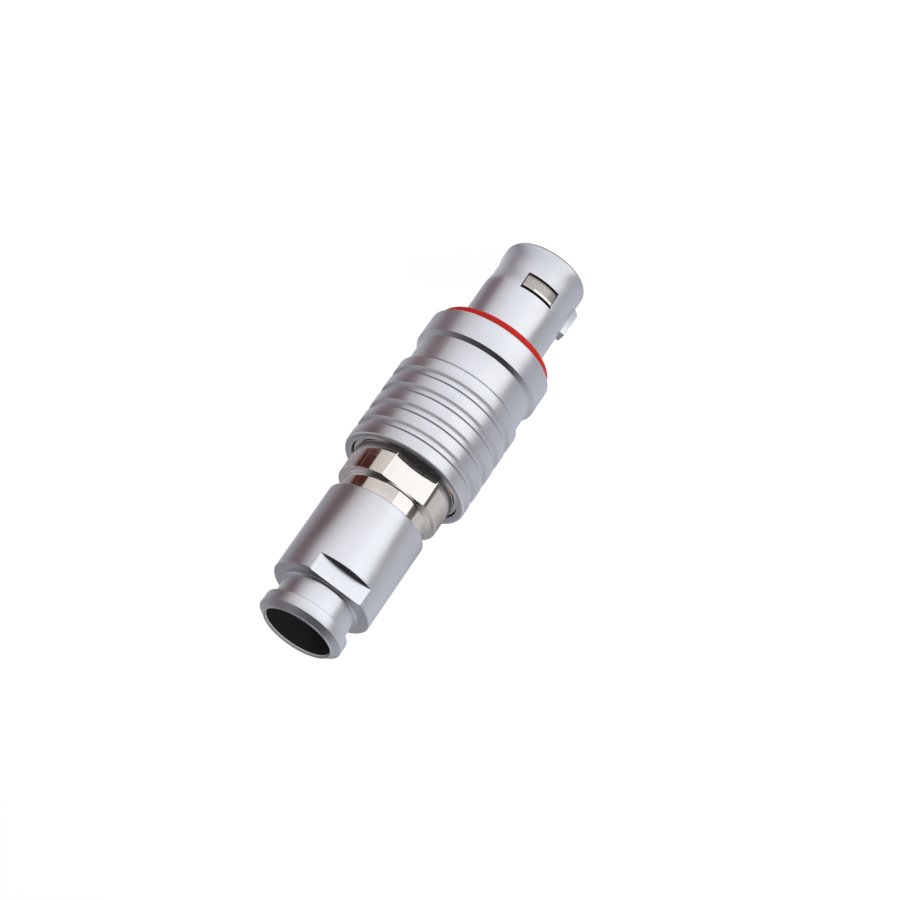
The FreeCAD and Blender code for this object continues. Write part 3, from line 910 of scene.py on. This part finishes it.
class CONNECTOR_OT_stage(bpy.types.Operator):
    """Plain white floor, soft studio light and the camera"""

    bl_idname = "connector.stage"
    bl_label = "Stage"

    def execute(self, context):
        stage = context.scene.connector_stage
        self.floor(stage)
        self.cards()
        self.room(context.scene, stage)
        self.lamps(stage)
        self.camera(context.scene, stage)
        context.scene.view_settings.view_transform = "Standard"
        return {"FINISHED"}

    def floor(self, stage):
        """Wide floor that looks white, with a faint shadow and a disc of painted shadow beneath the
        nose.
        """
        material, finish = new_material("floor_white")
        seen = finish.value("LightPath", "Is Camera Ray")
        _, x, y, _ = finish.place()
        # Painted shadow: the floor's glow to the camera is black in a disc beneath the nose
        shadow_disc = ((x * x + y * y) ** 0.5).below((CARD_BORE_R + 0.05) * MM, 0.0002)
        pale = finish.blend(shadow_disc, (0.93, 0.93, 0.93, 1.0), (0.0, 0.0, 0.0, 1.0))
        glow = finish.node("Emission", inputs={"Color": pale, "Strength": 1.0})
        faint = finish.node("BsdfDiffuse", inputs={"Color": (0.2, 0.2, 0.2, 1.0)})
        white = finish.node("AddShader", inputs={0: faint.outputs[0], 1: glow.outputs[0]})
        lit = finish.node("BsdfDiffuse", inputs={"Color": rgba(stage.floor)})
        above = finish.node("MixShader", inputs={0: seen, 1: lit.outputs[0], 2: white.outputs[0]})
        back = finish.value("NewGeometry", "Backfacing")
        clear = finish.node("BsdfTransparent")
        both = finish.node("MixShader", inputs={0: back, 1: above.outputs[0], 2: clear.outputs[0]})
        finish.node("OutputMaterial", inputs={"Surface": both.outputs[0]})
        made = bmesh.new()
        bmesh.ops.create_circle(made, cap_ends=True, radius=FLOOR_R * MM, segments=64)
        mesh = bpy.data.meshes.new("floor")
        made.to_mesh(mesh)
        made.free()
        plane = bpy.data.objects.new("floor", mesh)
        plane.location.z = -FLOOR_DROP * MM
        mesh.materials.append(material)
        bpy.context.scene.collection.objects.link(plane)

    def cards(self):
        """Studio card round the plug, seen only in reflections, with dark and pale stretches."""
        material, finish = new_material("reflected_card")
        _, x, y, _ = finish.place()
        turn = finish.value("Math", 0, {"operation": "ARCTAN2"}, {0: 0.0 - x, 1: 0.0 - y})
        share = turn / TURN + 0.5
        reach = (x * x + y * y) ** 0.5
        close, satin, bright, nut = [
            finish.node("ValToRGB", {"stops": shades}, {"Fac": share}).outputs[0]
            for shades in (CLOSE_SHADES, SATIN_SHADES, BRIGHT_SHADES, NUT_SHADES)
        ]
        shade = finish.blend(reach.below(CLOSE_ZONE * MM, 0.002), satin, close)
        shade = finish.blend(reach.below(SATIN_ZONE * MM, 0.003), bright, shade)
        shade = finish.blend(reach.below(BRIGHT_ZONE * MM, 0.001), nut, shade)
        glow = finish.node("Emission", inputs={"Color": shade, "Strength": 1.0})
        finish.node("OutputMaterial", inputs={"Surface": glow.outputs[0]})
        made = bmesh.new()
        rings = []
        for radius in (CARD_BORE_R * MM, CARD_R * MM):
            turns = [TURN * index / CARD_CORNERS for index in range(CARD_CORNERS)]
            rings.append([
                made.verts.new((radius * math.cos(angle), radius * math.sin(angle), 0.0))
                for angle in turns
            ])
        for index in range(CARD_CORNERS):
            after = (index + 1) % CARD_CORNERS
            made.faces.new((rings[0][index], rings[1][index], rings[1][after], rings[0][after]))
        mesh = bpy.data.meshes.new("reflected_card")
        made.to_mesh(mesh)
        made.free()
        mesh.materials.append(material)
        card = bpy.data.objects.new("reflected_card", mesh)
        card.location.z = CARD_LIFT * MM
        card.rotation_euler.z = CAMERA_TURN
        bpy.context.scene.collection.objects.link(card)
        for rays in ("camera", "diffuse", "shadow", "transmission", "volume_scatter"):
            setattr(card, "visible_" + rays, False)

    def room(self, scene, stage):
        """Room light: pale at the horizon and darker overhead, white to the camera."""
        world = bpy.data.worlds.new("room")
        world.use_nodes = True
        scene.world = world
        tree = world.node_tree
        finish = Finish(tree)
        direction = finish.node("TexCoord").outputs["Generated"]
        parts = finish.node("SeparateXYZ", inputs={"Vector": direction})
        turn = stage.camera_turn
        x, y, z = (Field(tree, parts.outputs[axis]) for axis in "XYZ")
        near = x * math.sin(turn) - y * math.cos(turn)
        side = x * math.cos(turn) + y * math.sin(turn)
        right, left = [
            finish.node("ValToRGB", {"stops": shades}, {"Fac": z}).outputs[0]
            for shades in (RIGHT_SHADES, LEFT_SHADES)
        ]
        shade = finish.blend(side.below(0.0, 0.5), left, right)
        wide = 1.0 - (side * side).below(0.33, 0.32)
        shade = finish.node("VectorMath", {"operation": "SCALE"}, {
            0: shade, "Scale": 1.0 + 0.5 * wide,
        }).outputs[0]
        shade = finish.blend(near.below(0.15, 0.5), (0.022, 0.022, 0.024, 1.0), shade)
        light = finish.node("Background", inputs={"Color": shade, "Strength": stage.sky})
        white = finish.node("Background", inputs={"Color": (1.0, 1.0, 1.0, 1.0), "Strength": 1.0})
        seen = finish.node("LightPath").outputs["Is Camera Ray"]
        mix = finish.node("MixShader", inputs={0: seen, 1: light.outputs[0], 2: white.outputs[0]})
        finish.node("OutputWorld", inputs={"Surface": mix.outputs[0]})

    def lamps(self, stage):
        """Two large soft lamps: name, power, size, azimuth from the camera, rise and distance."""
        near = stage.camera_turn
        for name, power, size, azimuth, rise, far in (
            ("main_lamp", stage.key, 0.3, -35, 40, 0.45),
            ("fill_lamp", stage.fill, 0.4, 60, 25, 0.5),
        ):
            turn = near + math.radians(azimuth)
            lift = math.radians(rise)
            direction = Vector((
                math.sin(turn) * math.cos(lift), -math.cos(turn) * math.cos(lift), math.sin(lift),
            ))
            lamp = bpy.data.lights.new(name, "AREA")
            lamp.shape = "DISK"
            lamp.size = size
            lamp.energy = power
            holder = bpy.data.objects.new(name, lamp)
            holder.visible_glossy = False
            holder.location = direction * far + Vector((0, 0, MOUTH_END / 2 * MM))
            holder.rotation_euler = direction.to_track_quat("Z", "Y").to_euler()
            bpy.context.scene.collection.objects.link(holder)

    def camera(self, scene, stage):
        """Camera above the horizon, rolled so that the nose points up and to the right."""
        turn, rise, roll = stage.camera_turn, stage.camera_rise, stage.camera_roll
        near = Vector((math.sin(turn), -math.cos(turn), 0))
        left = Vector((-math.cos(turn), -math.sin(turn), 0))
        sight = -near * math.cos(rise) - Vector((0, 0, math.sin(rise)))
        nose = near * math.sin(rise) - Vector((0, 0, math.cos(rise)))
        right = math.cos(roll) * nose + math.sin(roll) * left
        up = math.sin(roll) * nose - math.cos(roll) * left
        middle = Vector((0, 0, LOOK_Z * MM))
        data = bpy.data.cameras.new("photo_camera")
        data.lens = stage.lens
        data.sensor_width = 36.0
        data.clip_start = 0.01
        data.clip_end = 10.0
        holder = bpy.data.objects.new("photo_camera", data)
        shift = right * (SHIFT_RIGHT * MM) + up * (SHIFT_UP * MM)
        place = middle - sight * stage.camera_distance + shift
        turned = Matrix((right, up, -sight)).transposed().to_4x4()
        holder.matrix_world = Matrix.Translation(place) @ turned
        scene.collection.objects.link(holder)
        scene.camera = holder


# Shades of the reflected card by share of a turn: 0.5 faces the camera, lower is to its left
CLOSE_SHADES = [
    (0.0, (0.8, 0.8, 0.84)),
    (0.2, (0.64, 0.63, 0.67)),
    (0.25, (0.46, 0.45, 0.48)),
    (0.29, (0.34, 0.32, 0.35)),
    (0.325, (0.3, 0.26, 0.29)),
    (0.357, (0.44, 0.43, 0.46)),
    (0.392, (0.64, 0.64, 0.69)),
    (0.428, (0.74, 0.755, 0.81)),
    (0.464, (0.83, 0.84, 0.89)),
    (0.5, (0.87, 0.88, 0.93)),
    (0.54, (0.97, 0.98, 1.01)),
    (0.582, (0.95, 0.96, 0.99)),
    (0.61, (0.5, 0.5, 0.53)),
    (0.645, (0.42, 0.43, 0.46)),
    (0.68, (0.5, 0.51, 0.55)),
    (0.75, (0.55, 0.56, 0.61)),
    (1.0, (0.6, 0.62, 0.66)),
]
SATIN_SHADES = [
    (0.0, (0.78, 0.78, 0.83)),
    (0.06, (0.66, 0.66, 0.7)),
    (0.12, (0.48, 0.47, 0.5)),
    (0.175, (0.35, 0.33, 0.36)),
    (0.215, (0.215, 0.15, 0.175)),
    (0.28, (0.205, 0.145, 0.165)),
    (0.305, (0.52, 0.5, 0.52)),
    (0.37, (0.8, 0.8, 0.83)),
    (0.44, (0.99, 0.99, 1.05)),
    (0.5, (1.02, 1.03, 1.08)),
    (0.545, (1.14, 1.15, 1.18)),
    (0.64, (1.14, 1.15, 1.18)),
    (0.655, (0.42, 0.42, 0.44)),
    (0.69, (0.38, 0.38, 0.4)),
    (0.71, (0.47, 0.475, 0.51)),
    (0.78, (0.54, 0.55, 0.61)),
    (0.85, (0.58, 0.59, 0.65)),
    (0.93, (0.51, 0.53, 0.59)),
    (1.0, (0.5, 0.52, 0.56)),
]
BRIGHT_SHADES = [
    (0.0, (0.2, 0.2, 0.21)),
    (0.08, (0.36, 0.34, 0.35)),
    (0.17, (0.28, 0.25, 0.26)),
    (0.2, (0.16, 0.09, 0.08)),
    (0.21, (0.06, 0.019, 0.014)),
    (0.231, (0.06, 0.019, 0.014)),
    (0.236, (0.18, 0.1, 0.08)),
    (0.241, (0.06, 0.019, 0.014)),
    (0.301, (0.06, 0.019, 0.014)),
    (0.305, (0.58, 0.54, 0.52)),
    (0.39, (0.66, 0.63, 0.61)),
    (0.524, (0.63, 0.61, 0.61)),
    (0.527, (1.03, 1.04, 1.05)),
    (0.645, (1.03, 1.04, 1.05)),
    (0.65, (0.08, 0.08, 0.08)),
    (0.695, (0.1, 0.095, 0.09)),
    (0.705, (0.53, 0.51, 0.52)),
    (0.78, (0.57, 0.55, 0.56)),
    (0.83, (0.42, 0.41, 0.42)),
    (0.9, (0.3, 0.3, 0.31)),
    (1.0, (0.12, 0.12, 0.13)),
]
NUT_SHADES = [
    (0.0, (0.95, 0.95, 1.0)),
    (0.05, (0.74, 0.73, 0.77)),
    (0.1, (0.42, 0.41, 0.44)),
    (0.175, (0.29, 0.27, 0.295)),
    (0.215, (0.165, 0.112, 0.122)),
    (0.28, (0.165, 0.112, 0.122)),
    (0.31, (0.44, 0.41, 0.42)),
    (0.37, (0.82, 0.81, 0.82)),
    (0.43, (1.1, 1.11, 1.16)),
    (0.5, (1.16, 1.18, 1.24)),
    (0.545, (1.26, 1.28, 1.33)),
    (0.64, (1.28, 1.3, 1.34)),
    (0.66, (0.5, 0.51, 0.52)),
    (0.69, (0.43, 0.435, 0.46)),
    (0.72, (0.52, 0.53, 0.58)),
    (0.78, (0.58, 0.6, 0.66)),
    (0.85, (0.62, 0.64, 0.7)),
    (0.93, (0.5, 0.52, 0.57)),
    (1.0, (0.5, 0.52, 0.56)),
]
# Room light by height above the horizon, to the right and to the left of the plug
RIGHT_SHADES = [
    (0.0, (0.42, 0.42, 0.45)),
    (0.24, (0.38, 0.385, 0.42)),
    (0.53, (0.31, 0.32, 0.34)),
    (0.65, (0.28, 0.29, 0.31)),
    (0.765, (0.195, 0.2, 0.215)),
    (0.855, (0.115, 0.118, 0.125)),
    (0.92, (0.1, 0.102, 0.108)),
    (0.98, (0.13, 0.13, 0.138)),
    (1.0, (0.2, 0.2, 0.21)),
]
LEFT_SHADES = [
    (0.0, (0.34, 0.34, 0.37)),
    (0.24, (0.32, 0.318, 0.35)),
    (0.39, (0.25, 0.245, 0.27)),
    (0.53, (0.167, 0.157, 0.175)),
    (0.655, (0.12, 0.108, 0.117)),
    (0.765, (0.135, 0.125, 0.132)),
    (0.86, (0.21, 0.205, 0.215)),
    (0.94, (0.3, 0.298, 0.31)),
    (0.98, (0.25, 0.25, 0.26)),
    (1.0, (0.17, 0.17, 0.18)),
]


class CONNECTOR_PT_panel(bpy.types.Panel):
    """Lists the pieces, the finishes and the stage"""

    bl_label = "Connector"
    bl_idname = "CONNECTOR_PT_panel"
    bl_space_type = "VIEW_3D"
    bl_region_type = "UI"
    bl_category = "Connector"

    def draw(self, context):
        layout = self.layout
        for group in (context.scene.connector_sizes, context.scene.connector_finish,
                      context.scene.connector_stage):
            box = layout.box()
            for name in group.bl_rna.properties.keys():
                if name not in ("rna_type", "name"):
                    box.prop(group, name)
        for operator in OPERATORS:
            layout.operator(operator.bl_idname)


OPERATORS = (
    CONNECTOR_OT_stage,
    CONNECTOR_OT_shell,
    CONNECTOR_OT_seal,
    CONNECTOR_OT_body,
    CONNECTOR_OT_latches,
    CONNECTOR_OT_nut,
    CONNECTOR_OT_inside,
)
GROUPS = {
    "connector_finish": ConnectorFinish,
    "connector_sizes": ConnectorSizes,
    "connector_stage": ConnectorStage,
}


def register():
    """Registers the settings, the operators and the panel."""
    for name, group in GROUPS.items():
        bpy.utils.register_class(group)
        setattr(bpy.types.Scene, name, bpy.props.PointerProperty(type=group))
    for operator in OPERATORS:
        bpy.utils.register_class(operator)
    bpy.utils.register_class(CONNECTOR_PT_panel)


def unregister():
    """Removes the panel, the operators and the settings."""
    bpy.utils.unregister_class(CONNECTOR_PT_panel)
    for operator in reversed(OPERATORS):
        bpy.utils.unregister_class(operator)
    for name, group in GROUPS.items():
        delattr(bpy.types.Scene, name)
        bpy.utils.unregister_class(group)


def main():
    """Builds the stage and every piece."""
    register()
    for operator in OPERATORS:
        group, name = operator.bl_idname.split(".")
        getattr(getattr(bpy.ops, group), name)()


if __name__ == "__main__":
    main()
